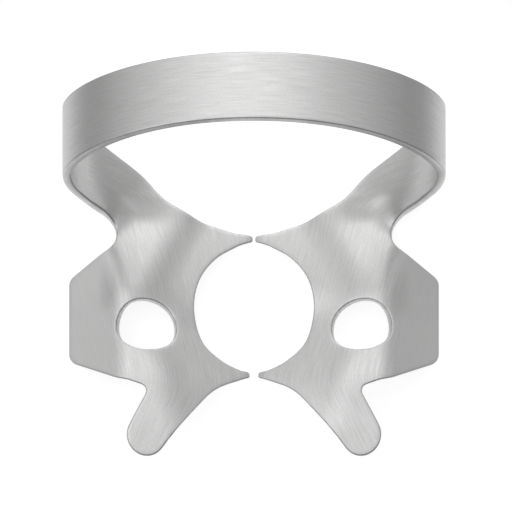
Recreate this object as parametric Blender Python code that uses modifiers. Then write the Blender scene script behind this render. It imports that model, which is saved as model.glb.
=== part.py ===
# Rubber dam clamp: one piece of spring steel sheet, stamped flat, then pressed and bent.
# Left and right are X, the tabs point to -Y and the bow stands over +Y, lying as it comes to rest.
# The half at +X is shaped as a middle surface, mirrored, and given the thickness of the sheet.
# While it is shaped, x = 0 is the mirror plane, y = 0 the front edge of the bow's strip,
# and z = 0 the level at which the bow is widest.

import math

import bmesh
import bpy
from mathutils import Matrix, Vector
from mathutils.geometry import convex_hull_2d, delaunay_2d_cdt

MM = 0.001

# Sheet
SHEET_THICKNESS = 0.6 * MM
EDGE_ROUNDING = 0.1 * MM
EDGE_SEGMENTS = 2

# Bow: an arch like a flattened ellipse, with a curl that turns in below its widest point
BOW_HALF_SPAN = 13.2 * MM
BOW_RISE = 8.4 * MM
BOW_WIDTH = 5.3 * MM
BOW_FLARE = 0.3 * MM
BOW_POWER_ACROSS = 2.1
BOW_POWER_UP = 1.6
CURL_RADIUS = 5.5 * MM
CURL_TURN = math.radians(33.0)

# Arm: level rulings that fan round the notch while they come down to the jaw
JAW_DEPTH = 6.2 * MM
ARM_RUN = 2.36 * MM
ARM_PIVOT_Y = -0.62 * MM
ARM_FAN = math.radians(58.0)
ARM_FAN_POWER = 2.2

# Notch between the arm and the wing, its depth measured in from the end of the curl
NOTCH_DEPTH = 2.61 * MM
NOTCH_BACK_Y = -0.38 * MM
NOTCH_FRONT_Y = -2.28 * MM
NOTCH_BACK_RADIUS = 1.05 * MM
NOTCH_FRONT_RADIUS = 1.3 * MM

# Wing, folded down along a leaning line that passes the outer side of the forceps hole
WING_REACH = 12.92 * MM
WING_BACK_Y = -4.2 * MM
WING_FRONT_Y = -10.6 * MM
WING_BACK_RADIUS = 0.7 * MM
WING_FRONT_RADIUS = 1.2 * MM
WING_EDGE_END = (9.6 * MM, -12.78 * MM)
WING_EDGE_RADIUS = 3.0 * MM
WING_ANGLE = math.radians(29.0)
FOLD_X = 9.15 * MM
FOLD_LEAN = 0.24
FOLD_LEAN_BEND = 1.5 * MM
FOLD_LENGTH = 3.7 * MM
FOLD_BEND_AT_HOLE = 0.5 * MM
FOLD_BEND_AT_NOTCH = 0.75 * MM

# Forceps hole
HOLE_RADIUS = 2.02 * MM
HOLE_SQUARENESS = 2.15
HOLE_X = 7.57 * MM
HOLE_Y = -8.64 * MM

# Jaw plate: beyond a line it dips towards the tooth, then flattens to its lip, at the back more
# than at the front; the line leans in both ways from the back of the hole
JAW_DIP = 0.36
JAW_DIP_X = 8.3 * MM
JAW_DIP_BEND = 0.9 * MM
JAW_LIP = 0.3
JAW_LIP_FRONT = 0.05
JAW_LIP_BACK_Y = -4.8 * MM
JAW_LIP_FRONT_Y = -8.8 * MM
JAW_LIP_WAY = 1.5 * MM
JAW_LIP_BEND = 0.9 * MM
JAW_LEAN_BACK = 0.47
JAW_LEAN_FRONT = 0.28
JAW_LEAN_BEND = 0.8 * MM

# Opening for the tooth: its curve is given as shares of the half width and ways from OPENING_Y
OPENING_HALF_WIDTH = 4.25 * MM
OPENING_Y = -6.94 * MM
OPENING_CURVE = [(0.555, -3.83 * MM), (0.87, -2.47 * MM), (1.0, 0.0), (0.9, 2.2 * MM), (0.63, 3.86 * MM)]

# Edge of the opening, the prongs and the jaw's front, ground thinner from below
GROUND_THICKNESS = 0.24 * MM
GROUND_REACH = 0.7 * MM

# Prongs at the ends of the opening: a root is given from the corner of its tip
BACK_PRONG_Y = -1.41 * MM
FRONT_PRONG_Y = -11.6 * MM
BACK_PRONG_GAP = 0.3 * MM
FRONT_PRONG_GAP = 0.78 * MM
FRONT_PRONG_ROOT = (0.6 * MM, 0.0)
BACK_PRONG_ROOT = (0.96 * MM, -0.4 * MM)
PRONG_TIP_WIDTH = 0.44 * MM
PRONG_TIP_RADIUS = 0.2 * MM
PRONG_TURN_X = 0.6 * MM
PRONG_TURN_BEND = 0.25 * MM
PRONG_TURN = 0.25

# Back edge of the jaw, then of the arm: ways in from the curl's end, and back as shares of BOW_WIDTH
JAW_BACK = [(1.31 * MM, -1.07 * MM), (2.0 * MM, -0.85 * MM), (3.8 * MM, -0.21 * MM)]
ARM_BACK = [(6.11 * MM, 0.23), (4.31 * MM, 0.572), (2.01 * MM, 0.84)]

# Tab: the corners of its rounded end are given from TAB_END
TAB_ROOT = (7.37 * MM, -13.58 * MM)
TAB_ROOT_RADIUS = 0.5 * MM
TAB_END = (7.52 * MM, -16.7 * MM)
TAB_OUTER_CORNER = (1.88 * MM, -0.49 * MM)
TAB_INNER_CORNER = (-0.27 * MM, -1.92 * MM)
TAB_END_RADIUS = 1.45 * MM
TAB_INNER_ROOT = (2.8 * MM, -13.12 * MM)
TAB_INNER_RADIUS = 5.0 * MM
TAB_DIP = math.radians(25.0)
TAB_DIP_Y = -14.4 * MM
TAB_DIP_BEND = 2.2 * MM

# Fineness of the mesh
EDGE_STEP = 0.62 * MM
GRID_STEP = 0.85 * MM
ARC_STEP = math.radians(16.0)
HOLE_STEPS = 26
CURL_STEPS = 5
ARCH_STEPS = 24
STRIP_STEPS = 4

# Colour of the satin steel
STEEL_COLOUR = (0.62, 0.62, 0.61, 1.0)
STEEL_ROUGHNESS = 0.34

# The corner where the curl ends and the arm begins, and the slope there
CURL_END_X = BOW_HALF_SPAN - CURL_RADIUS * (1.0 - math.cos(CURL_TURN))
CURL_END_Z = -CURL_RADIUS * math.sin(CURL_TURN)
CURL_END_SLOPE = 1.0 / math.tan(CURL_TURN)
ARM_FOOT_X = CURL_END_X - ARM_RUN
NOTCH_X = CURL_END_X - NOTCH_DEPTH


def clear_scene():
    for item in list(bpy.data.objects):
        bpy.data.objects.remove(item, do_unlink=True)


def blend(start, end, value):
    """0 before start, 1 after end, with a smooth step between."""
    share = min(max((value - start) / (end - start), 0.0), 1.0)
    return share * share * (3.0 - 2.0 * share)


def bend(distance, reach):
    """0 on one side of a fold line, the distance on the other, and a round bend between."""
    if distance <= -reach:
        return 0.0
    if distance >= reach:
        return distance
    return (distance + reach) ** 2 / (4.0 * reach)


def arm_share(x, y):
    """Share of the way down the arm of the ruling that passes through a point of the plan."""
    if y <= ARM_PIVOT_Y:
        return 1.0
    low, high = 0.0, 1.0
    for _ in range(30):
        share = (low + high) / 2.0
        foot = CURL_END_X + (ARM_FOOT_X - CURL_END_X) * share
        angle = ARM_FAN * share ** ARM_FAN_POWER
        if (foot - x) * math.cos(angle) > (y - ARM_PIVOT_Y) * math.sin(angle):
            low = share
        else:
            high = share
    return (low + high) / 2.0


def arm_height(x, y):
    """Height of the arm, whose slope falls from the curl's to none with a power of the way."""
    run = CURL_END_X - ARM_FOOT_X
    fall = CURL_END_Z + JAW_DEPTH
    mean = fall / (run * CURL_END_SLOPE)
    power = mean / (1.0 - mean)
    share = arm_share(x, y)
    travelled = share - share ** (power + 1.0) / (power + 1.0)
    return CURL_END_Z - run * CURL_END_SLOPE * travelled


def pressed_height(x, y):
    """What the press adds to the jaw: wing fold, dip to the tooth, tab dip and prong turn."""
    hole_back = HOLE_Y + HOLE_RADIUS
    fold_x = FOLD_X + FOLD_LEAN * bend(y - hole_back, FOLD_LEAN_BEND)
    widening = blend(hole_back, hole_back + FOLD_LENGTH, y)
    fold_bend = FOLD_BEND_AT_HOLE + (FOLD_BEND_AT_NOTCH - FOLD_BEND_AT_HOLE) * widening
    on_wing = 1.0 - blend(NOTCH_FRONT_Y, NOTCH_BACK_Y, y)
    height = -math.tan(WING_ANGLE) * bend(x - fold_x, fold_bend) * on_wing
    dip_x = JAW_DIP_X - JAW_LEAN_BACK * bend(y - hole_back, JAW_LEAN_BEND)
    dip_x -= JAW_LEAN_FRONT * bend(hole_back - y, JAW_LEAN_BEND)
    height -= JAW_DIP * bend(dip_x - x, JAW_DIP_BEND)
    lip = JAW_LIP_FRONT + (JAW_LIP - JAW_LIP_FRONT) * blend(JAW_LIP_FRONT_Y, JAW_LIP_BACK_Y, y)
    height += lip * bend(dip_x - JAW_LIP_WAY - x, JAW_LIP_BEND)
    height -= math.tan(TAB_DIP) * bend(TAB_DIP_Y - y, TAB_DIP_BEND)
    height -= PRONG_TURN * bend(PRONG_TURN_X - x, PRONG_TURN_BEND)
    return height


def split_line(start, end, step):
    """Points from start up to, and without, the end, no further apart than the step."""
    count = max(1, math.ceil((end - start).length / step))
    return [start.lerp(end, index / count) for index in range(count)]


def rounded_path(corners):
    """Points along straight lines whose inner corners, given as (x, y, radius), are arcs.
    An arc is no larger than the shorter of its two lines has room for."""
    places = [Vector(corner[:2]) for corner in corners]
    points = []
    pen = places[0]
    for index in range(1, len(corners) - 1):
        here = places[index]
        back = places[index - 1] - here
        ahead = places[index + 1] - here
        half = back.angle(ahead) / 2.0
        room = 0.49 * min(back.length, ahead.length) * math.tan(half)
        radius = min(corners[index][2], room)
        back.normalize()
        ahead.normalize()
        start = here + back * radius / math.tan(half)
        end = here + ahead * radius / math.tan(half)
        centre = here + (back + ahead).normalized() * radius / math.sin(half)
        turn = (start - centre).angle_signed(end - centre)
        count = max(2, math.ceil(max(abs(turn) / ARC_STEP, abs(turn) * radius / EDGE_STEP)))
        points += split_line(pen, start, EDGE_STEP)
        for step in range(count):
            arm = start - centre
            arm.rotate(Matrix.Rotation(-turn * step / count, 2))
            points.append(centre + arm)
        pen = end
    points += split_line(pen, places[-1], EDGE_STEP)
    return points


def smooth_path(places, before, after):
    """Points along a smooth curve through the places; before and after set its end directions."""
    knots = [Vector(place) for place in [before] + places + [after]]
    points = []
    for index in range(1, len(knots) - 2):
        first, second = knots[index], knots[index + 1]
        leave = (second - knots[index - 1]) / 2.0
        arrive = (knots[index + 2] - first) / 2.0
        count = max(1, math.ceil((second - first).length / EDGE_STEP))
        for step in range(count):
            t = step / count
            points.append(first * (2 * t ** 3 - 3 * t ** 2 + 1) + leave * (t ** 3 - 2 * t ** 2 + t)
                          + second * (3 * t ** 2 - 2 * t ** 3) + arrive * (t ** 3 - t ** 2))
    return points


def plan_outline():
    """Outline of the arm and jaw from above: notch, wing, tab, prongs, opening and back edge."""
    half_tip = PRONG_TIP_WIDTH / 2.0
    front_tip = Vector((FRONT_PRONG_GAP / 2.0, FRONT_PRONG_Y))
    back_tip = Vector((BACK_PRONG_GAP / 2.0, BACK_PRONG_Y))
    front_root = front_tip + Vector((0.0, half_tip)) + Vector(FRONT_PRONG_ROOT)
    back_root = back_tip - Vector((0.0, half_tip)) + Vector(BACK_PRONG_ROOT)
    tab_outer = Vector(TAB_END) + Vector(TAB_OUTER_CORNER)
    tab_inner = Vector(TAB_END) + Vector(TAB_INNER_CORNER)
    opening = [(share * OPENING_HALF_WIDTH, OPENING_Y + way) for share, way in OPENING_CURVE]
    arm_back = [(CURL_END_X - way, share * BOW_WIDTH) for way, share in ARM_BACK]
    end_width = strip_width(CURL_END_X)
    points = rounded_path([
        (CURL_END_X, 0.0),
        (NOTCH_X, NOTCH_BACK_Y, NOTCH_BACK_RADIUS),
        (NOTCH_X, NOTCH_FRONT_Y, NOTCH_FRONT_RADIUS),
        (WING_REACH, WING_BACK_Y, WING_BACK_RADIUS),
        (WING_REACH, WING_FRONT_Y, WING_FRONT_RADIUS),
        (*WING_EDGE_END, WING_EDGE_RADIUS),
        (*TAB_ROOT, TAB_ROOT_RADIUS),
        (*tab_outer, TAB_END_RADIUS),
        (*tab_inner, TAB_END_RADIUS),
        (*TAB_INNER_ROOT, TAB_INNER_RADIUS),
        (front_tip.x, front_tip.y - half_tip, PRONG_TIP_RADIUS),
        (front_tip.x, front_tip.y + half_tip, PRONG_TIP_RADIUS),
        (*front_root,),
    ])
    points += smooth_path([front_root] + opening + [back_root], front_tip, back_tip)
    points += rounded_path([
        (*back_root,),
        (back_tip.x, back_tip.y - half_tip, PRONG_TIP_RADIUS),
        (back_tip.x, back_tip.y + half_tip, PRONG_TIP_RADIUS),
        JAW_BACK[0],
    ])
    points += smooth_path(JAW_BACK + arm_back + [(CURL_END_X, end_width)], back_tip,
                          (BOW_HALF_SPAN, strip_width(BOW_HALF_SPAN)))
    points += split_line(Vector((CURL_END_X, end_width)), Vector((CURL_END_X, 0.0)),
                         1.001 * end_width / STRIP_STEPS)
    return points


def hole_outline():
    """Rim of the forceps hole from above, a circle drawn a little towards a square."""
    rim = []
    for index in range(HOLE_STEPS):
        turn = 2.0 * math.pi * index / HOLE_STEPS
        across, along = math.cos(turn), math.sin(turn)
        size = abs(across) ** HOLE_SQUARENESS + abs(along) ** HOLE_SQUARENESS
        reach = HOLE_RADIUS / size ** (1.0 / HOLE_SQUARENESS)
        rim.append(Vector((HOLE_X + reach * across, HOLE_Y + reach * along)))
    return rim


def is_inside(point, loop):
    """Whether a point of the plan lies inside a closed loop."""
    inside = False
    for first, second in zip(loop, loop[1:] + loop[:1]):
        if (first.y > point.y) != (second.y > point.y):
            crossing = first.x + (point.y - first.y) * (second.x - first.x) / (second.y - first.y)
            if point.x < crossing:
                inside = not inside
    return inside


def grid_points(outline, hole, clearance):
    """Staggered grid of points on the sheet, clear of its edges."""
    rim = outline + hole
    left, right = min(p.x for p in outline), max(p.x for p in outline)
    front, back = min(p.y for p in outline), max(p.y for p in outline)
    row_step = GRID_STEP * math.sqrt(0.75)
    points = []
    for row in range(int((back - front) / row_step) + 1):
        shift = GRID_STEP / 2.0 if row % 2 else 0.0
        for column in range(int((right - left) / GRID_STEP) + 1):
            point = Vector((left + shift + column * GRID_STEP, front + row * row_step))
            if not is_inside(point, outline) or is_inside(point, hole):
                continue
            if min((point - other).length for other in rim) > clearance:
                points.append(point)
    return points


def full_share(point, ground):
    """0 at the ground edge, rising to 1 where the sheet has its full thickness."""
    return min(min((point - other).length for other in ground) / GROUND_REACH, 1.0)


def loop_edges(first, count):
    """Index pairs round a closed loop of points."""
    return [(first + index, first + (index + 1) % count) for index in range(count)]


def make_half_sheet():
    """Middle surface of the half at +X: the jaw and arm, then the strip carried up the bow."""
    outline = plan_outline()
    hole = hole_outline()
    inner = grid_points(outline, hole, 0.6 * GRID_STEP)
    edges = loop_edges(0, len(outline)) + loop_edges(len(outline), len(hole))
    plan = delaunay_2d_cdt(outline + hole + inner, edges, [], 1, 1e-9)
    ground = [p for p in outline if TAB_DIP_Y < p.y < WING_FRONT_Y
              or p.x < OPENING_HALF_WIDTH + EDGE_ROUNDING and p.y < BACK_PRONG_Y + PRONG_TIP_WIDTH]
    shares = [full_share(p, ground) for p in plan[0]]
    thinned = (SHEET_THICKNESS - GROUND_THICKNESS) / 2.0
    sheet = bmesh.new()
    verts = [sheet.verts.new((p.x, p.y, arm_height(p.x, p.y) + pressed_height(p.x, p.y)
                              + thinned * (1.0 - share))) for p, share in zip(plan[0], shares)]
    for corners in plan[2]:
        middle = sum((plan[0][index] for index in corners), Vector((0.0, 0.0))) / len(corners)
        if is_inside(middle, outline) and not is_inside(middle, hole):
            sheet.faces.new([verts[index] for index in corners])
    rib = sorted((vert for vert in verts if abs(vert.co.x - CURL_END_X) < 1e-7
                  and vert.co.y > -1e-7), key=lambda vert: vert.co.y)
    for x, z in bow_path():
        widening = strip_width(x) / rib[-1].co.y
        next_rib = [sheet.verts.new((x, vert.co.y * widening, z)) for vert in rib]
        for index in range(len(rib) - 1):
            sheet.faces.new((rib[index], rib[index + 1], next_rib[index + 1], next_rib[index]))
        rib = next_rib
    bmesh.ops.recalc_face_normals(sheet, faces=sheet.faces)
    mesh = bpy.data.meshes.new("dam_clamp")
    sheet.to_mesh(mesh)
    sheet.free()
    return mesh, shares


def strip_width(x):
    """Width of the bow's strip, which flares a little from its top to its sides."""
    return BOW_WIDTH + BOW_FLARE * (x / BOW_HALF_SPAN) ** 3


def bow_path():
    """Front view of the bow from the end of the curl to the top, as (x, z)."""
    path = []
    for step in range(1, CURL_STEPS + 1):
        turn = CURL_TURN * (1.0 - step / CURL_STEPS)
        path.append((BOW_HALF_SPAN - CURL_RADIUS * (1.0 - math.cos(turn)),
                     -CURL_RADIUS * math.sin(turn)))
    for step in range(1, ARCH_STEPS + 1):
        turn = math.pi / 2.0 * step / ARCH_STEPS
        across = max(math.cos(turn), 0.0) if step < ARCH_STEPS else 0.0
        path.append((BOW_HALF_SPAN * across ** (2.0 / BOW_POWER_ACROSS),
                     BOW_RISE * math.sin(turn) ** (2.0 / BOW_POWER_UP)))
    return path


def steel_material():
    material = bpy.data.materials.new("satin_steel")
    material.use_nodes = True
    shader = material.node_tree.nodes["Principled BSDF"]
    shader.inputs["Base Color"].default_value = STEEL_COLOUR
    shader.inputs["Metallic"].default_value = 1.0
    shader.inputs["Roughness"].default_value = STEEL_ROUGHNESS
    return material


def finish_sheet(clamp, shares):
    """Mirror the half, give the sheet its thickness and round its stamped edges."""
    full = clamp.vertex_groups.new(name="full_thickness")
    for vert in clamp.data.vertices:
        full.add([vert.index], shares[vert.index] if vert.index < len(shares) else 1.0, 'REPLACE')
    mirror = clamp.modifiers.new("other_half", 'MIRROR')
    mirror.use_clip = True
    mirror.merge_threshold = 0.00001
    sheet = clamp.modifiers.new("sheet", 'SOLIDIFY')
    sheet.thickness = SHEET_THICKNESS
    sheet.offset = 0.0
    sheet.vertex_group = full.name
    sheet.thickness_vertex_group = GROUND_THICKNESS / SHEET_THICKNESS
    rounding = clamp.modifiers.new("stamped_edge", 'BEVEL')
    rounding.width = EDGE_ROUNDING
    rounding.segments = EDGE_SEGMENTS
    rounding.limit_method = 'ANGLE'
    rounding.angle_limit = math.radians(50.0)


def solid_mesh(clamp):
    """The clamp as its modifiers leave it."""
    graph = bpy.context.evaluated_depsgraph_get()
    return bpy.data.meshes.new_from_object(clamp.evaluated_get(graph), depsgraph=graph)


def centre_of_mass(mesh):
    """Centre of the volume that a closed mesh encloses."""
    mesh.calc_loop_triangles()
    volume = 0.0
    moment = Vector((0.0, 0.0, 0.0))
    for triangle in mesh.loop_triangles:
        a, b, c = (mesh.vertices[index].co for index in triangle.vertices)
        piece = a.dot(b.cross(c)) / 6.0
        volume += piece
        moment += (a + b + c) / 4.0 * piece
    return moment / volume


def rest_lean(mesh):
    """Angle about X at which the clamp lies still: the side of its profile under the mass."""
    centre = centre_of_mass(mesh)
    side = [Vector((vert.co.y, vert.co.z)) for vert in mesh.vertices]
    hull = [side[index] for index in convex_hull_2d(side)]
    for first, second in zip(hull, hull[1:] + hull[:1]):
        front, back = sorted((first, second), key=lambda point: point.x)
        if front.x <= centre.y < back.x:
            run = (centre.y - front.x) / (back.x - front.x)
            if front.lerp(back, run).y < centre.z:
                return math.atan2(front.y - back.y, back.x - front.x)
    return 0.0


def set_at_rest(clamp):
    """Turn the clamp to the way it lies, with the middle of its footprint at the origin."""
    lean = 0.0
    for _ in range(6):
        solid = solid_mesh(clamp)
        step = rest_lean(solid)
        bpy.data.meshes.remove(solid)
        clamp.data.transform(Matrix.Rotation(step, 4, 'X'))
        clamp.data.update()
        bpy.context.view_layer.update()
        lean += step
        if abs(step) < 1e-6:
            break
    solid = solid_mesh(clamp)
    ys = [vert.co.y for vert in solid.vertices]
    lowest = min(vert.co.z for vert in solid.vertices)
    bpy.data.meshes.remove(solid)
    clamp.data.transform(Matrix.Translation((0.0, -(min(ys) + max(ys)) / 2.0, -lowest)))
    return lean


def main():
    clear_scene()
    collection = bpy.data.collections.new("rubber_dam_clamp")
    bpy.context.scene.collection.children.link(collection)
    half, shares = make_half_sheet()
    clamp = bpy.data.objects.new("dam_clamp", half)
    collection.objects.link(clamp)
    clamp.data.materials.append(steel_material())
    finish_sheet(clamp, shares)
    lean = set_at_rest(clamp)
    clamp.data.shade_smooth()
    clamp.data.set_sharp_from_angle(angle=math.radians(40.0))
    print("lean at rest, degrees:", round(math.degrees(lean), 3))


main()
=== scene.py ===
import math

import bpy
import numpy as np
from mathutils.geometry import delaunay_2d_cdt
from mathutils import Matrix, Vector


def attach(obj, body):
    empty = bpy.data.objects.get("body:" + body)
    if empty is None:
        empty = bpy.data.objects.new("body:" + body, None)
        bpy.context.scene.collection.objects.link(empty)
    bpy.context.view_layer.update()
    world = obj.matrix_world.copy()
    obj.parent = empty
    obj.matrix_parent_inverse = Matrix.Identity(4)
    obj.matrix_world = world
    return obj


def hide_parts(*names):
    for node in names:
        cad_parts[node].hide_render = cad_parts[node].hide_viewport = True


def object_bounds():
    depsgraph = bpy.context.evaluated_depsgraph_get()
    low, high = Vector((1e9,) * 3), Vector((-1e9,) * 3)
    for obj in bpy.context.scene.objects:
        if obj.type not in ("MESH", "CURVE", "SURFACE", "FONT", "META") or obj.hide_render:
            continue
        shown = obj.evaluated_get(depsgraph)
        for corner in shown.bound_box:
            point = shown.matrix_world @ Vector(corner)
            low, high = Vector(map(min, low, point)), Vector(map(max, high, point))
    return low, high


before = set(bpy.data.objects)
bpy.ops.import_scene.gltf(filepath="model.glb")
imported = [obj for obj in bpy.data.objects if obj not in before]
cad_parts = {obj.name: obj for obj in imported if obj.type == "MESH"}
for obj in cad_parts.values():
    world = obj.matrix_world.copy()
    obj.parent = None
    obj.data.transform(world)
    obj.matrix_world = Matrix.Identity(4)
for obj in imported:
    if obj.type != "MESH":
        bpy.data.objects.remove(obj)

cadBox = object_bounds()
mm = 0.001
tiny = 1e-6  # millimetres, within which two places count as the same

# The form of the clamp, in millimetres and degrees, with slopes, powers, shares and counts as plain
# numbers. x = 0 is the mirror plane, y = 0 the front edge of the bow's strip and z = 0 the level at
# which the bow is widest.
bow = {"halfSpan": 13.2, "rise": 8.4, "width": 5.3, "flare": 0.3, "powerAcross": 2.1, "powerUp": 1.6,
       "curlRadius": 5.5, "curlTurn": 33.0, "curlPoints": 200, "archPoints": 4000}
arm = {"jawDepth": 6.2, "run": 2.36, "pivotY": -0.62, "fan": 58.0, "fanPower": 2.2, "softness": 0.3,
       "halvings": 34, "rulings": 21, "evenRounds": 40, "evenPull": 0.5, "evenReach": (0.6, 2.0)}
wing = {"angle": 29.0, "foldX": 9.15, "foldLean": 0.24, "leanBend": 1.5, "foldLength": 3.7,
        "bendAtHole": 0.5, "bendAtNotch": 0.75, "backY": -0.38, "frontY": -2.28}
hole = {"radius": 2.02, "squareness": 2.15, "x": 7.57, "y": -8.64}
jaw = {"dip": 0.36, "dipX": 8.3, "dipBend": 0.9, "lip": 0.3, "lipFront": 0.05, "lipBackY": -4.8,
       "lipFrontY": -8.8, "lipWay": 1.5, "lipBend": 0.9,
       "leanBack": 0.47, "leanFront": 0.28, "leanBend": 0.8,
       "prongTurn": 0.25, "prongTurnX": 0.6, "prongTurnBend": 0.25}
ridge = {"tilt": 0.08, "middleY": -3.2, "fullReach": 2.4, "reach": 4.8, "startX": 4.6, "fullX": 7.6,
         "fullEndX": 9.3, "endX": 10.8}
tab = {"dip": 25.0, "dipY": -14.4, "dipBend": 2.2}
groundEdge = {"thickness": 0.24, "reach": 0.7, "openingX": 4.35}
# The rim shares say how far each row of the rounded edge, from the top down, takes the rim's darker colour,
# which is painted shade on the rounding.
sheet = {"thickness": 0.6, "rounding": 0.12, "thinRounding": 0.45, "roundingSteps": 4,
         "paintedShadeRimShares": (0.3, 0.8, 1.0, 0.6, 0.0, 0.0, 0.0, 0.0), "step": 0.22, "edgeGap": 0.45,
         "leanAtRest": 15.58}

curlTurn = math.radians(bow["curlTurn"])
curlEndX = bow["halfSpan"] - bow["curlRadius"] * (1.0 - math.cos(curlTurn))
curlEndZ = -bow["curlRadius"] * math.sin(curlTurn)
curlEndSlope = 1.0 / math.tan(curlTurn)
armFootX = curlEndX - arm["run"]


# A step that rises smoothly from 0 at start to 1 at end.
def smoothStep(start, end, value):
    share = np.clip((value - start) / (end - start), 0.0, 1.0)
    return share * share * (3.0 - 2.0 * share)


# A fold: nothing on one side, the distance itself on the other, and a parabola between them.
def foldRamp(distance, reach):
    return np.where(distance >= reach, distance, (np.maximum(distance, -reach) + reach) ** 2 / (4.0 * reach))


# How far down the arm the ruling through each point of the plan lies, found by halving the range.
# A ruling is a level line whose foot moves inwards while it turns about the pivot. Past the foot
# of the arm, at 1, the rulings only turn.
def armShare(x, y):
    most = 1.0 / (1.0 - arm["softness"])
    low, high = np.zeros_like(x), np.full_like(x, most)
    for _ in range(arm["halvings"]):
        middle = (low + high) / 2.0
        foot = curlEndX + (armFootX - curlEndX) * np.minimum(middle, 1.0)
        angle = math.radians(arm["fan"]) * middle ** arm["fanPower"]
        above = (foot - x) * np.cos(angle) > (y - arm["pivotY"]) * np.sin(angle)
        low, high = np.where(above, middle, low), np.where(above, high, middle)
    return np.where((y <= arm["pivotY"]) & (x > armFootX), most, (low + high) / 2.0)


# Height of the arm: its slope falls from the curl's to none with a power of the way down. The bend
# at its foot is softened: the height is a mean over the rulings a little before and behind.
def armHeight(share):
    run = curlEndX - armFootX
    mean = (curlEndZ + arm["jawDepth"]) / (run * curlEndSlope)
    power = mean / (1.0 - mean)
    total = 0.0
    places = np.linspace(-1.0, 1.0, arm["rulings"])[1:-1]
    for place in places:
        near = np.minimum(share * (1.0 + arm["softness"] * place), 1.0)
        drop = near - near ** (power + 1.0) / (power + 1.0)
        total = total + drop * (1.0 + math.cos(math.pi * place))
    return curlEndZ - run * curlEndSlope * total / (1.0 + np.cos(math.pi * places)).sum()


# What the press adds to the jaw: the wing's fold, the dip to the tooth, the tab's dip, the prongs'
# turn, and the slight tilt of the ridge between the notch and the hole.
def pressedHeight(x, y):
    holeBack = hole["y"] + hole["radius"]
    foldX = wing["foldX"] + wing["foldLean"] * foldRamp(y - holeBack, wing["leanBend"])
    widening = smoothStep(holeBack, holeBack + wing["foldLength"], y)
    foldBend = wing["bendAtHole"] + (wing["bendAtNotch"] - wing["bendAtHole"]) * widening
    onWing = 1.0 - smoothStep(wing["frontY"], wing["backY"], y)
    height = -math.tan(math.radians(wing["angle"])) * foldRamp(x - foldX, foldBend) * onWing
    dipX = jaw["dipX"] - jaw["leanBack"] * foldRamp(y - holeBack, jaw["leanBend"])
    dipX = dipX - jaw["leanFront"] * foldRamp(holeBack - y, jaw["leanBend"])
    height -= jaw["dip"] * foldRamp(dipX - x, jaw["dipBend"])
    backwards = smoothStep(jaw["lipFrontY"], jaw["lipBackY"], y)
    lip = jaw["lipFront"] + (jaw["lip"] - jaw["lipFront"]) * backwards
    height += lip * foldRamp(dipX - jaw["lipWay"] - x, jaw["lipBend"])
    height -= math.tan(math.radians(tab["dip"])) * foldRamp(tab["dipY"] - y, tab["dipBend"])
    height -= jaw["prongTurn"] * foldRamp(jaw["prongTurnX"] - x, jaw["prongTurnBend"])
    way = y - ridge["middleY"]
    window = smoothStep(ridge["startX"], ridge["fullX"], x) * smoothStep(ridge["endX"], ridge["fullEndX"], x)
    height -= ridge["tilt"] * way * smoothStep(ridge["reach"], ridge["fullReach"], abs(way)) * window
    return height


# Width of the bow's strip: it flares with the cube of the way out.
def stripWidth(x):
    return bow["width"] + bow["flare"] * (x / bow["halfSpan"]) ** 3


# Straight stretch of points from start towards end, without the end.
def straight(start, end, step):
    start, end = np.array(start, float), np.array(end, float)
    count = max(1, math.ceil(np.linalg.norm(end - start) / step))
    return start + (end - start) * np.linspace(0.0, 1.0, count, endpoint=False)[:, None]


# Straight lines whose inner corners, given as (x, y, radius), are rounded with an arc that is
# no larger than the shorter of its two lines has room for.
def roundedPath(corners, step, room=0.49, fewest=4):
    places = [np.array(corner[:2], float) for corner in corners]
    pieces, pen = [], places[0]
    for index in range(1, len(corners) - 1):
        here = places[index]
        back, ahead = places[index - 1] - here, places[index + 1] - here
        backLength, aheadLength = np.linalg.norm(back), np.linalg.norm(ahead)
        back, ahead = back / backLength, ahead / aheadLength
        half = math.acos(float(np.clip(back @ ahead, -1.0, 1.0))) / 2.0
        radius = min(corners[index][2], room * min(backLength, aheadLength) * math.tan(half))
        start, end = here + back * radius / math.tan(half), here + ahead * radius / math.tan(half)
        middle = (back + ahead) / np.linalg.norm(back + ahead)
        centre = here + middle * radius / math.sin(half)
        arc = start - centre
        turn = math.pi - 2.0 * half
        turn = turn if arc[0] * (end - centre)[1] - arc[1] * (end - centre)[0] > 0.0 else -turn
        count = max(fewest, math.ceil(abs(turn) * radius / step))
        angles = turn * np.linspace(0.0, 1.0, count, endpoint=False)
        pieces.append(straight(pen, start, step))
        pieces.append(centre + np.stack([arc[0] * np.cos(angles) - arc[1] * np.sin(angles),
                                         arc[0] * np.sin(angles) + arc[1] * np.cos(angles)], 1))
        pen = end
    pieces.append(straight(pen, places[-1], step))
    return np.concatenate(pieces)


# A smooth curve through the places, with cubic pieces whose end directions come from the neighbours.
def smoothPath(places, before, after, step):
    knots = np.array([before] + list(places) + [after], float)
    pieces = []
    for index in range(1, len(knots) - 2):
        first, second = knots[index], knots[index + 1]
        leave, arrive = (second - knots[index - 1]) / 2.0, (knots[index + 2] - first) / 2.0
        count = max(1, math.ceil(np.linalg.norm(second - first) / step))
        t = np.linspace(0.0, 1.0, count, endpoint=False)[:, None]
        pieces.append(first * (2 * t ** 3 - 3 * t ** 2 + 1) + leave * (t ** 3 - 2 * t ** 2 + t)
                      + second * (3 * t ** 2 - 2 * t ** 3) + arrive * (t ** 3 - t ** 2))
    return np.concatenate(pieces)


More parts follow.
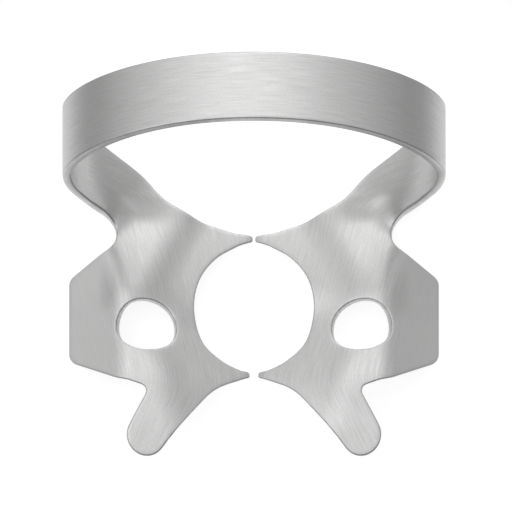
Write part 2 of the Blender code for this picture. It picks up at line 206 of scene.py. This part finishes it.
# Outline of the arm and jaw from above, the half at +x. Rounded corners are (x, y, radius), prongs and
# curves (x, y), their roots are measured from the prongs, and armBack gives each place as its way
# inwards from the end of the curl and its share of the strip's width.
outline = {
    "notchDepth": 2.61, "notchBackRadius": 1.05, "notchFrontRadius": 1.3,
    "wingReach": 12.92, "wingBackY": -4.2, "wingFrontY": -10.6, "wingBackRadius": 0.7, "wingFrontRadius": 1.2,
    "wingEdgeEnd": (9.6, -12.78, 3.0), "tabRoot": (7.37, -13.58, 0.5), "tabOuter": (9.4, -17.19, 1.45),
    "tabInner": (7.25, -18.62, 1.45), "tabInnerRoot": (2.8, -13.12, 5.0),
    "frontProng": (0.39, -11.6), "backProng": (0.15, -1.41), "tipWidth": 0.44, "tipRadius": 0.2,
    "frontProngRoot": (0.6, 0.0), "backProngRoot": (0.96, -0.4),
    "opening": [(2.359, -10.77), (3.698, -9.41), (4.25, -6.94), (3.825, -4.74), (2.678, -3.08)],
    "jawBack": [(1.31, -1.07), (2.0, -0.85), (3.8, -0.21)],
    "armBack": [(6.11, 0.23), (4.31, 0.572), (2.01, 0.84)],
}


# The outline as one loop: notch, wing and tab as lines with rounded corners, the opening and the back
# of the jaw and arm as smooth curves, and the end of the strip with as many points as the strip has.
def planOutline(step):
    edge = outline
    half = edge["tipWidth"] / 2.0
    notchX = curlEndX - edge["notchDepth"]
    frontX, frontY = edge["frontProng"]
    backX, backY = edge["backProng"]
    frontRoot = (frontX + edge["frontProngRoot"][0], frontY + half + edge["frontProngRoot"][1])
    backRoot = (backX + edge["backProngRoot"][0], backY - half + edge["backProngRoot"][1])
    endWidth = stripWidth(curlEndX)
    armBack = [(curlEndX - way, share * bow["width"]) for way, share in edge["armBack"]]
    columns = round(endWidth / step)
    justOver = 1.0001  # keeps rounding up from adding a point
    front = roundedPath([(curlEndX, 0.0), (notchX, wing["backY"], edge["notchBackRadius"]),
                         (notchX, wing["frontY"], edge["notchFrontRadius"]),
                         (edge["wingReach"], edge["wingBackY"], edge["wingBackRadius"]),
                         (edge["wingReach"], edge["wingFrontY"], edge["wingFrontRadius"]),
                         edge["wingEdgeEnd"], edge["tabRoot"], edge["tabOuter"], edge["tabInner"],
                         edge["tabInnerRoot"], (frontX, frontY - half, edge["tipRadius"]),
                         (frontX, frontY + half, edge["tipRadius"]), frontRoot], step)
    opening = smoothPath([frontRoot] + edge["opening"] + [backRoot], (frontX, frontY), (backX, backY), step)
    backTip = roundedPath([backRoot, (backX, backY - half, edge["tipRadius"]),
                           (backX, backY + half, edge["tipRadius"]), edge["jawBack"][0]], step)
    back = smoothPath(edge["jawBack"] + armBack + [(curlEndX, endWidth)], (backX, backY),
                      (bow["halfSpan"], stripWidth(bow["halfSpan"])), step)
    end = straight((curlEndX, endWidth), (curlEndX, 0.0), justOver * endWidth / columns)
    return np.concatenate([front, opening, backTip, back, end])


# Rim of the forceps hole: a circle drawn a little towards a square.
def holeOutline(step):
    count = round(2.0 * math.pi * hole["radius"] / step)
    turn = np.linspace(0.0, 2.0 * math.pi, count, endpoint=False)
    across, along = np.cos(turn), np.sin(turn)
    power = hole["squareness"]
    size = (abs(across) ** power + abs(along) ** power) ** (1.0 / power)
    return np.stack([hole["x"] + hole["radius"] * across / size,
                     hole["y"] + hole["radius"] * along / size], 1)


# Whether points lie inside a closed loop: a level line from each to the right crosses an odd number
# of its sides.
def insideLoop(points, loop):
    first, second = loop, np.roll(loop, -1, axis=0)
    x, y = points[:, 0, None], points[:, 1, None]
    spans = (first[:, 1] > y) != (second[:, 1] > y)
    run, rise = (second - first).T
    crossing = first[:, 0] + (y - first[:, 1]) * run / np.where(rise == 0.0, 1.0, rise)
    return (spans & (x < crossing)).sum(1) % 2 == 1


# Front view of the bow from the end of its curl to the top, as (x, z): an arc, then a quarter
# of a squared ellipse, with the points spread evenly along it.
def bowPath(step):
    turn = np.linspace(curlTurn, 0.0, bow["curlPoints"], endpoint=False)
    curl = np.stack([bow["halfSpan"] - bow["curlRadius"] * (1.0 - np.cos(turn)),
                     -bow["curlRadius"] * np.sin(turn)], 1)
    turn = np.linspace(0.0, math.pi / 2.0, bow["archPoints"])
    arch = np.stack([bow["halfSpan"] * np.clip(np.cos(turn), 0.0, 1.0) ** (2.0 / bow["powerAcross"]),
                     bow["rise"] * np.clip(np.sin(turn), 0.0, 1.0) ** (2.0 / bow["powerUp"])], 1)
    arch[-1, 0] = 0.0
    path = np.concatenate([curl, arch])
    way = np.concatenate([[0.0], np.cumsum(np.linalg.norm(np.diff(path, axis=0), axis=1))])
    even = np.linspace(0.0, way[-1], round(way[-1] / step) + 1)
    return np.stack([np.interp(even, way, path[:, 0]), np.interp(even, way, path[:, 1])], 1), even


# The way that the brush lines run, in millimetres but for the shares. They lean on the jaw, turn
# along the tab and are fainter on the wing.
brush = {"armLength": 6.0, "jawLean": 0.24, "tabTurn": 0.75, "tabTurnY": -13.4, "tabTurnBend": 1.4,
         "wingFade": 0.7, "fadeStart": 0.3, "fadeEnd": 1.5, "fadeBackY": 0.0, "fadeFrontY": -2.5,
         "mapLength": 30.0}


# Where each point of the plan lies among the brush lines: the way across them, the way along them,
# and how strongly they show. They come down the arm square to its rulings until these are level:
# across is the distance from the ruling's foot, and along falls with the share of the way down.
def jawFlow(flat, share):
    x, y = flat.T
    share = np.minimum(share, (90.0 / arm["fan"]) ** (1.0 / arm["fanPower"]))
    foot = curlEndX + (armFootX - curlEndX) * np.minimum(share, 1.0)
    fromFoot = np.hypot(x - foot, np.maximum(y - arm["pivotY"], 0.0))
    down = np.minimum(y - arm["pivotY"], 0.0)
    across = np.where(x > foot, foot - x, fromFoot) + brush["jawLean"] * down
    across = across + brush["tabTurn"] * foldRamp(brush["tabTurnY"] - y, brush["tabTurnBend"])
    onWing = smoothStep(wing["foldX"] + brush["fadeStart"], wing["foldX"] + brush["fadeEnd"], x)
    strength = 1.0 - brush["wingFade"] * onWing * smoothStep(brush["fadeBackY"], brush["fadeFrontY"], y)
    return np.stack([across, down - share * brush["armLength"], strength], 1)


# Thickness of the sheet: it grows evenly from the ground edge, which is the part of the rim round
# the opening, on the prongs and along the jaw's front, to the full sheet.
def sheetThickness(flat, rim):
    x, y = rim.T
    atOpening = (x < groundEdge["openingX"]) & (y < outline["backProng"][1] + outline["tipWidth"])
    ground = rim[atOpening | ((y > tab["dipY"]) & (y < outline["wingFrontY"]))]
    way = np.sqrt(((flat[:, None] - ground) ** 2).sum(-1)).min(1)
    share = np.minimum(way / groundEdge["reach"], 1.0)
    return groundEdge["thickness"] + (sheet["thickness"] - groundEdge["thickness"]) * share


# Evens out the heights round the pivot of the fan, where its rulings crowd together: in each round a
# point goes part of the way to the mean of its neighbours, less so further from the pivot.
def evenRoundPivot(surface, triangles):
    reach = np.hypot(surface[:, 0] - armFootX, surface[:, 1] - arm["pivotY"])
    pull = 1.0 - smoothStep(arm["evenReach"][0], arm["evenReach"][1], reach)
    sides = np.concatenate([triangles[:, [0, 1]], triangles[:, [1, 2]], triangles[:, [2, 0]]])
    sides = np.unique(np.concatenate([sides, sides[:, ::-1]]), axis=0)
    neighbours = np.bincount(sides[:, 0], minlength=len(surface))
    height = surface[:, 2]
    for _ in range(arm["evenRounds"]):
        mean = np.bincount(sides[:, 0], height[sides[:, 1]], len(surface)) / np.maximum(neighbours, 1)
        height = height + arm["evenPull"] * pull * (mean - height)
    return np.column_stack([surface[:, :2], height])


# The sides of a closed loop of points, as pairs of their numbers.
def loopSides(first, count):
    index = np.arange(count)
    return np.column_stack([first + index, first + (index + 1) % count]).tolist()


# The plan of the jaw and arm as triangles: a staggered grid, cut to the outline and the hole.
def planTriangles(step):
    rim, holeRim = planOutline(step), holeOutline(step)
    low, high = rim.min(0), rim.max(0)
    rowStep = step * math.sqrt(0.75)
    column, row = np.meshgrid(np.arange(int((high[0] - low[0]) / step) + 1),
                              np.arange(int((high[1] - low[1]) / rowStep) + 1))
    grid = np.stack([low[0] + (column + 0.5 * (row % 2)) * step, low[1] + row * rowStep], -1).reshape(-1, 2)
    grid = grid[insideLoop(grid, rim) & ~insideLoop(grid, holeRim)]
    edgePoints = np.concatenate([rim, holeRim])
    gap = np.sqrt(((grid[:, None] - edgePoints) ** 2).sum(-1)).min(1)
    grid = grid[gap > sheet["rounding"] + sheet["edgeGap"] * step]
    sides = loopSides(0, len(rim)) + loopSides(len(rim), len(holeRim))
    insideOnly, weldWithin = 1, 1e-9
    points, _, faces = delaunay_2d_cdt(np.concatenate([edgePoints, grid]).tolist(), sides, [], insideOnly,
                                       weldWithin)[:3]
    flat, triangles = np.array(points), np.array(faces)
    middle = flat[triangles].mean(1)
    triangles = triangles[insideLoop(middle, rim) & ~insideLoop(middle, holeRim)]
    first, second, third = flat[triangles].swapaxes(0, 1)
    sideA, sideB = second - first, third - first
    clockwise = sideA[:, 0] * sideB[:, 1] < sideA[:, 1] * sideB[:, 0]
    triangles[clockwise] = triangles[clockwise][:, ::-1]
    return flat, triangles, rim


# Middle surface of the half at +x: its height is a function of the place in the plan, and the strip
# is a straight profile carried up the bow's path from the end of the arm.
def halfSurface(step):
    flat, triangles, rim = planTriangles(step)
    share = armShare(flat[:, 0], flat[:, 1])
    surface = np.column_stack([flat, armHeight(share) + pressedHeight(flat[:, 0], flat[:, 1])])
    surface = evenRoundPivot(surface, triangles)

    path, way = bowPath(step)
    rib = np.nonzero((abs(flat[:, 0] - curlEndX) < tiny) & (flat[:, 1] > -tiny))[0]
    rib = rib[np.argsort(flat[rib, 1])]
    across = flat[rib, 1] / flat[rib, 1].max()
    strip = np.stack([np.repeat(path[1:, 0, None], len(rib), 1), stripWidth(path[1:, 0, None]) * across,
                      np.repeat(path[1:, 1, None], len(rib), 1)], -1)
    stripCount = len(rib) * (len(path) - 1)
    stripIndex = np.concatenate([rib[None], len(flat) + np.arange(stripCount).reshape(-1, len(rib))])
    a, b = stripIndex[:-1, :-1].ravel(), stripIndex[:-1, 1:].ravel()
    c, d = stripIndex[1:, 1:].ravel(), stripIndex[1:, :-1].ravel()
    vertices = np.concatenate([surface, strip.reshape(-1, 3)])
    faces = np.concatenate([triangles, np.stack([a, c, b], 1), np.stack([a, d, c], 1)])

    stripFlow = np.stack([strip[..., 1].ravel() - arm["pivotY"], np.repeat(way[1:], len(rib)),
                          np.ones(stripCount)], 1)
    thickness = np.concatenate([sheetThickness(flat, rim), np.full(stripCount, sheet["thickness"])])
    return vertices, faces, np.concatenate([jawFlow(flat, share), stripFlow]), thickness


# Both halves as one surface: the mirror image shares the points on the mirror plane.
def wholeSurface(step):
    right, faces, flow, thickness = halfSurface(step)
    away = abs(right[:, 0]) > tiny
    leftIndex = np.arange(len(right))
    leftIndex[away] = len(right) + np.arange(away.sum())
    vertices = np.concatenate([right, right[away] * (-1.0, 1.0, 1.0)])
    leftFlow = flow[away].copy()
    leftFlow[:, 1] = 2.0 * flow[:, 1].max() - leftFlow[:, 1]
    return (vertices, np.concatenate([faces, leftIndex[faces][:, ::-1]]), np.concatenate([flow, leftFlow]),
            np.concatenate([thickness, thickness[away]]))


# The shell of the sheet: its top is the surface moved half the full thickness along its normals, and
# its underside lies the thickness at each point below that. A profile of two quarter rounds with a
# straight wall between them is carried along every edge.
def sheetShell(vertices, faces, flow, thickness):
    corners = vertices[faces]
    faceNormal = np.cross(corners[:, 1] - corners[:, 0], corners[:, 2] - corners[:, 0])
    normal = np.zeros_like(vertices)
    for corner in range(3):
        np.add.at(normal, faces[:, corner], faceNormal)
    normal /= np.linalg.norm(normal, axis=1)[:, None]

    count = len(vertices)
    pairs = np.concatenate([faces[:, [0, 1]], faces[:, [1, 2]], faces[:, [2, 0]]])
    code, reverse = pairs[:, 0] * count + pairs[:, 1], pairs[:, 1] * count + pairs[:, 0]
    edges = pairs[~np.isin(code, reverse)]
    after, before = np.arange(count), np.arange(count)
    after[edges[:, 0]], before[edges[:, 1]] = edges[:, 1], edges[:, 0]
    rim = np.unique(edges)
    outward = np.cross(vertices[after[rim]] - vertices[before[rim]], normal[rim])
    outward /= np.linalg.norm(outward, axis=1)[:, None]

    half = sheet["thickness"] / 2.0
    radius = np.minimum(sheet["rounding"], sheet["thinRounding"] * thickness[rim])
    vertices = vertices.copy()
    vertices[rim] -= outward * radius[:, None]
    turn = np.linspace(0.0, math.pi / 2.0, sheet["roundingSteps"] + 1)[1:, None]
    out, fall = radius * np.sin(turn), radius * (1.0 - np.cos(turn))
    out = np.concatenate([out, out[::-1]])
    up = np.concatenate([half - fall, half - thickness[rim] + fall[::-1]])
    rows = vertices[rim] + outward * out[..., None] + normal[rim] * up[..., None]

    place = np.zeros(count, int)
    place[rim] = np.arange(len(rim))
    rowIndex = np.concatenate([rim[None], 2 * count + np.arange(rows[..., 0].size).reshape(rows.shape[:2]),
                               count + rim[None]])
    start, end = place[edges[:, 0]], place[edges[:, 1]]
    a, b = rowIndex[:-1, end].ravel(), rowIndex[:-1, start].ravel()
    c, d = rowIndex[1:, start].ravel(), rowIndex[1:, end].ravel()
    shell = np.concatenate([vertices + normal * half, vertices + normal * (half - thickness[:, None]),
                            rows.reshape(-1, 3)])
    allFaces = np.concatenate([faces, count + faces[:, ::-1], np.stack([a, b, c], 1), np.stack([a, c, d], 1)])
    rimFlow = np.tile(flow[rim], (len(rows), 1))
    # Each rim row's share of the darker rim colour: painted shade on the rounded edge.
    paintedRimShade = np.concatenate([np.zeros(2 * count), np.repeat(sheet["paintedShadeRimShares"], len(rim))])
    return shell, allFaces, np.concatenate([flow, flow, rimFlow]), paintedRimShade


# Leans the clamp back as it lies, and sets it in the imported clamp's box, shrunk to it where it is
# a hair larger.
def placeAtRest(points):
    lean = math.radians(sheet["leanAtRest"])
    x, y, z = points.T
    points = np.stack([x, y * math.cos(lean) + z * math.sin(lean),
                       z * math.cos(lean) - y * math.sin(lean)], 1) * mm
    low, high = np.array(cadBox[0]), np.array(cadBox[1])
    size = points.max(0) - points.min(0)
    points = points * np.minimum(1.0, (high - low) / size)
    middle = (points.max(0) + points.min(0)) / 2.0
    points += (low + high) / 2.0 - middle
    points[:, 2] += low[2] - points[:, 2].min()
    return points


# A smooth-shaded object from an array of points and one of faces.
def addMesh(name, points, faces):
    mesh = bpy.data.meshes.new(name)
    mesh.vertices.add(len(points))
    mesh.vertices.foreach_set("co", points.astype(np.float32).ravel())
    mesh.loops.add(faces.size)
    mesh.loops.foreach_set("vertex_index", faces.astype(np.int32).ravel())
    mesh.polygons.add(len(faces))
    mesh.polygons.foreach_set("loop_start", np.arange(0, faces.size, faces.shape[1], dtype=np.int32))
    mesh.polygons.foreach_set("use_smooth", np.ones(len(faces), bool))
    mesh.update()
    mesh.validate()
    thing = bpy.data.objects.new(name, mesh)
    bpy.context.scene.collection.objects.link(thing)
    return thing


surface, surfaceFaces, surfaceFlow, surfaceThickness = wholeSurface(sheet["step"])
shell, shellFaces, shellFlow, shellPaintedRimShade = sheetShell(surface, surfaceFaces, surfaceFlow, surfaceThickness)
clamp = addMesh("formed_sheet", placeAtRest(shell), shellFaces)
clamp.data.attributes.new("grainFlow", 'FLOAT_VECTOR', 'POINT').data.foreach_set(
    "vector", shellFlow.astype(np.float32).ravel())
# This attribute carries the painted shade on the rounded edges to the steel.
clamp.data.attributes.new("paintedRimShade", 'FLOAT', 'POINT').data.foreach_set("value", shellPaintedRimShade.astype(np.float32))
brushMap = clamp.data.uv_layers.new(name="brushMap")
cornerVertex = np.zeros(len(clamp.data.loops), np.int32)
clamp.data.loops.foreach_get("vertex_index", cornerVertex)
brushPlace = shellFlow[cornerVertex][:, [1, 0]] / brush["mapLength"]
brushMap.data.foreach_set("uv", brushPlace.astype(np.float32).ravel())
print("sheet formed:", len(shellFaces), "triangles")

# Satin steel. Each noise is given as how often it repeats in a millimetre across and along the brush
# lines, its detail, and a shift that makes it differ from the others.
# The rim colour is painted shade: a darker steel for the rounded edges.
steel = {"colour": (0.57, 0.57, 0.567, 1.0), "paintedShadeRimColour": (0.46, 0.46, 0.457, 1.0),
         "roughness": 0.4, "roughnessSwing": -0.25, "anisotropy": 0.3, "lineDepth": 0.0028 * mm,
         "lines": (11.0, 0.45, 3.0, 0.0), "grain": (15.0, 5.0, 2.0, 40.0), "cloud": (0.5, 0.25, 2.0, 80.0),
         "linesShare": 0.65, "grainShare": 0.35, "lineTone": 0.6, "cloudTone": 0.06}


# Short ways to add a node, to give a socket a value or another node's output, and to add a Math node.
def nodeTools(tree):
    def node(kind, **settings):
        made = tree.nodes.new(kind)
        for name, value in settings.items():
            setattr(made, name, value)
        return made

    def feed(socket, value):
        if isinstance(value, bpy.types.NodeSocket):
            tree.links.new(value, socket)
        else:
            socket.default_value = value

    def mathNode(operation, *values):
        made = node("ShaderNodeMath", operation=operation)
        for socket, value in zip(made.inputs, values):
            feed(socket, value)
        return made.outputs[0]

    return node, feed, mathNode


# Brushed steel: fine lines and a finer grain along the brush lines change its tone, roughness and
# height a little, and a soft cloud changes its tone. The rounded edges get a darker colour, which is painted
# shade.
def satinSteel():
    material = bpy.data.materials.new("satinSteel")
    material.use_nodes = True
    node, feed, mathNode = nodeTools(material.node_tree)
    shader = material.node_tree.nodes["Principled BSDF"]
    feed(shader.inputs["Metallic"], 1.0)
    feed(shader.inputs["Anisotropic"], steel["anisotropy"])
    flow = node("ShaderNodeAttribute", attribute_name="grainFlow").outputs["Vector"]
    rim = node("ShaderNodeAttribute", attribute_name="paintedRimShade").outputs["Fac"]
    parts = node("ShaderNodeSeparateXYZ")
    feed(parts.inputs[0], flow)
    strength = parts.outputs["Z"]

    # A noise drawn out along the brush lines.
    def brushNoise(across, along, detail, shift):
        stretch = node("ShaderNodeVectorMath", operation='MULTIPLY_ADD')
        feed(stretch.inputs[0], flow)
        feed(stretch.inputs[1], (across, along, 0.0))
        feed(stretch.inputs[2], (shift, shift, shift))
        noise = node("ShaderNodeTexNoise", noise_dimensions='3D')
        feed(noise.inputs["Vector"], stretch.outputs[0])
        feed(noise.inputs["Scale"], 1.0)
        feed(noise.inputs["Detail"], detail)
        return noise.outputs["Fac"]

    brushed = mathNode('ADD', mathNode('MULTIPLY', brushNoise(*steel["lines"]), steel["linesShare"]),
                       mathNode('MULTIPLY', brushNoise(*steel["grain"]), steel["grainShare"]))
    relief = mathNode('MULTIPLY', mathNode('SUBTRACT', brushed, 0.5), strength)
    cloud = mathNode('SUBTRACT', brushNoise(*steel["cloud"]), 0.5)

    tone = mathNode('ADD', mathNode('MULTIPLY', relief, steel["lineTone"]),
                    mathNode('MULTIPLY', cloud, steel["cloudTone"]))
    # Painted shade: the rounded edges mix towards the darker rim colour.
    mix = node("ShaderNodeMix", data_type='RGBA')
    mix.inputs["A"].default_value = steel["colour"]
    mix.inputs["B"].default_value = steel["paintedShadeRimColour"]
    feed(mix.inputs["Factor"], rim)
    shade = node("ShaderNodeVectorMath", operation='SCALE')
    feed(shade.inputs[0], mix.outputs["Result"])
    feed(shade.inputs["Scale"], mathNode('ADD', tone, 1.0))
    feed(shader.inputs["Base Color"], shade.outputs[0])
    swing = mathNode('MULTIPLY', relief, steel["roughnessSwing"])
    feed(shader.inputs["Roughness"], mathNode('ADD', swing, steel["roughness"]))

    bump = node("ShaderNodeBump")
    feed(bump.inputs["Strength"], 1.0)
    feed(bump.inputs["Distance"], steel["lineDepth"])
    feed(bump.inputs["Height"], relief)
    feed(shader.inputs["Normal"], bump.outputs[0])
    tangent = node("ShaderNodeTangent", direction_type='UV_MAP', uv_map="brushMap")
    feed(shader.inputs["Tangent"], tangent.outputs[0])
    return material


clamp.data.materials.append(satinSteel())
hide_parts("dam_clamp")
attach(clamp, "root")
print("steel set")

# Floor and light. Each ring of the sky is its degrees from overhead and the strengths of its soft
# patches, evenly spaced from the right round by the back.
# The floor's colour and glow fall from full round the clamp to the far share further out: a painted pool of
# light.
studio = {"floorSize": 1.2, "floorGap": 0.02 * mm, "floorColour": 0.45, "floorRoughness": 0.9,
          "floorGlow": 0.75, "paintedPoolStart": 21.0 * mm, "paintedPoolEnd": 42.0 * mm, "paintedPoolFarShare": 0.3,
          "lightSharpness": 11.0,
          "skyRings": [(0, [0.58]), (28, [0.53, 0.0, 0.39, 1.01, 0.4, 0.2]),
                       (56, [0.51, 0.25, 1.51, 0.29, 0.72, 0.24, 0.0, 0.0]),
                       (84, [0.16, 0.48, 1.5, 0.6, 0.07, 0.14, 0.16, 0.0])]}

floorPoints = np.array([[-1, -1, 0], [1, -1, 0], [1, 1, 0], [-1, 1, 0]]) * studio["floorSize"]
floorPoints[:, 2] = cadBox[0][2] - studio["floorGap"]
floor = addMesh("floor", floorPoints, np.array([[0, 1, 2, 3]]))


# A pale floor that keeps the shadow. Its glow, which lights nothing and is only seen by the camera
# and in reflections, makes it white. Its colour and glow both fall from white round the clamp to grey further
# out, which is a painted pool of light.
def paleFloor():
    material = bpy.data.materials.new("paleFloor")
    material.use_nodes = True
    node, feed, mathNode = nodeTools(material.node_tree)
    nodes = material.node_tree.nodes
    shader = nodes["Principled BSDF"]
    wayOut = node("ShaderNodeVectorMath", operation='LENGTH')
    feed(wayOut.inputs[0], node("ShaderNodeTexCoord").outputs["Object"])
    # Painted pool of light: full brightness near the clamp, falling to the far share further out.
    fall = node("ShaderNodeMapRange", interpolation_type='SMOOTHSTEP')
    feed(fall.inputs["Value"], wayOut.outputs["Value"])
    feed(fall.inputs["From Min"], studio["paintedPoolStart"])
    feed(fall.inputs["From Max"], studio["paintedPoolEnd"])
    feed(fall.inputs["To Min"], 1.0)
    feed(fall.inputs["To Max"], studio["paintedPoolFarShare"])
    near = fall.outputs["Result"]
    feed(shader.inputs["Base Color"], mathNode('MULTIPLY', near, studio["floorColour"]))
    feed(shader.inputs["Roughness"], studio["floorRoughness"])
    feed(shader.inputs["Specular IOR Level"], 0.0)
    path = node("ShaderNodeLightPath").outputs
    seen = mathNode('MAXIMUM', mathNode('MAXIMUM', path["Is Camera Ray"], path["Is Glossy Ray"]),
                    path["Is Transmission Ray"])
    glow = node("ShaderNodeEmission")
    feed(glow.inputs["Color"], mathNode('MULTIPLY', near, studio["floorGlow"]))
    feed(glow.inputs["Strength"], seen)
    both = node("ShaderNodeAddShader")
    feed(both.inputs[0], shader.outputs[0])
    feed(both.inputs[1], glow.outputs[0])
    feed(nodes["Material Output"].inputs["Surface"], both.outputs[0])
    return material


# A sky of soft patches: each fades with the exponential of the cosine of the angle away from its
# middle, and the sky is their sum.
def softSky():
    world = bpy.data.worlds.new("softSky")
    world.use_nodes = True
    node, feed, mathNode = nodeTools(world.node_tree)
    direction = node("ShaderNodeTexCoord").outputs["Generated"]
    sharpness = studio["lightSharpness"]
    total = 0.0
    for degrees, ring in studio["skyRings"]:
        tilt = math.radians(degrees)
        for index, strength in enumerate(ring):
            around = 2.0 * math.pi * index / len(ring)
            facing = node("ShaderNodeVectorMath", operation='DOT_PRODUCT')
            feed(facing.inputs[0], direction)
            feed(facing.inputs[1], (math.sin(tilt) * math.cos(around), math.sin(tilt) * math.sin(around),
                                    math.cos(tilt)))
            nearness = mathNode('MULTIPLY_ADD', facing.outputs["Value"], sharpness, -sharpness)
            total = mathNode('MULTIPLY_ADD', mathNode('EXPONENT', nearness), strength, total)
    feed(world.node_tree.nodes["Background"].inputs["Color"], total)
    return world


floor.data.materials.append(paleFloor())
bpy.context.scene.world = softSky()
print("floor and light set")

# Camera: the world's origin shows at (mirrorColumn, originRow) of the frame.
view = {"elevation": 77.58, "distance": 0.5, "nearest": 0.01, "furthest": 10.0, "frameWidth": 0.036056,
        "framePixels": 512.0, "mirrorColumn": 254.0, "originRow": 280.87}
camera = bpy.data.objects.new("camera", bpy.data.cameras.new("camera"))
bpy.context.scene.collection.objects.link(camera)
bpy.context.scene.camera = camera
camera.data.type = 'ORTHO'
camera.data.ortho_scale = view["frameWidth"]
camera.data.clip_start = view["nearest"]
camera.data.clip_end = view["furthest"]
elevation = math.radians(view["elevation"])
pixel = view["frameWidth"] / view["framePixels"]
rightWay = (view["framePixels"] / 2.0 - view["mirrorColumn"]) * pixel
upWay = (view["originRow"] - view["framePixels"] / 2.0) * pixel
camera.rotation_euler = (math.pi / 2.0 - elevation, 0.0, 0.0)
camera.location = (rightWay,
                   -math.cos(elevation) * view["distance"] + math.sin(elevation) * upWay,
                   math.sin(elevation) * view["distance"] + math.cos(elevation) * upWay)

bpy.context.scene.view_settings.view_transform = 'Standard'
print("camera set")
